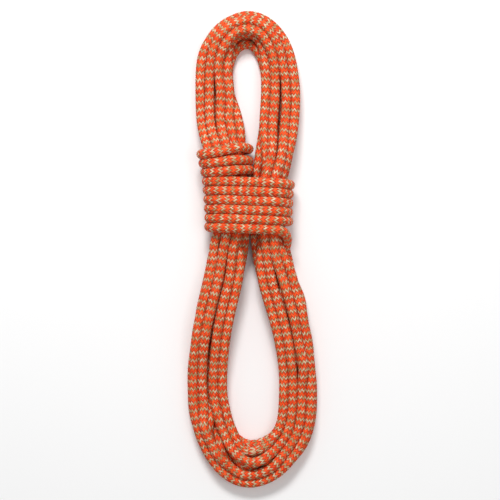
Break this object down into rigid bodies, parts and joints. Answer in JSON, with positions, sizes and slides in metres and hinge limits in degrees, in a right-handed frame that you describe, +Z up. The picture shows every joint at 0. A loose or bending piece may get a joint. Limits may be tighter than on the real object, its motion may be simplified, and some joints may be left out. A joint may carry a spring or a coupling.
{
  "type": "dynamic climbing rope",
  "caption": "Braided kernmantle climbing rope laid into an hourglass hank, bound round its waist with its own last turns.",
  "frame": {"origin": "middle of the underside of the hank as it lies flat", "axes": "+Z up, +Y along the hank from the long lower loop towards the short upper loop, +X across it"},
  "size_m": [0.127, 0.4812, 0.0451],
  "materials": {
    "braided_sheath": "braided polyamide yarns, two in five tan and the rest orange, with a soft sheen",
    "core_strands": "undyed twisted polyamide",
    "end_band": "shrunk polymer film, satin",
    "fused_tip": "melted and set, uneven gloss"
  },
  "bodies": {
    "root": {"hank_turns": "braided_sheath", "waist_wraps": "braided_sheath", "neck_wraps": "braided_sheath", "start_tail": "braided_sheath", "start_sheath": "braided_sheath", "start_core": "core_strands", "start_end_band": "end_band", "start_fused_tip": "fused_tip", "finish_tail": "braided_sheath", "finish_sheath": "braided_sheath", "finish_core": "core_strands", "finish_end_band": "end_band", "finish_fused_tip": "fused_tip"}
  },
  "joints": []
}
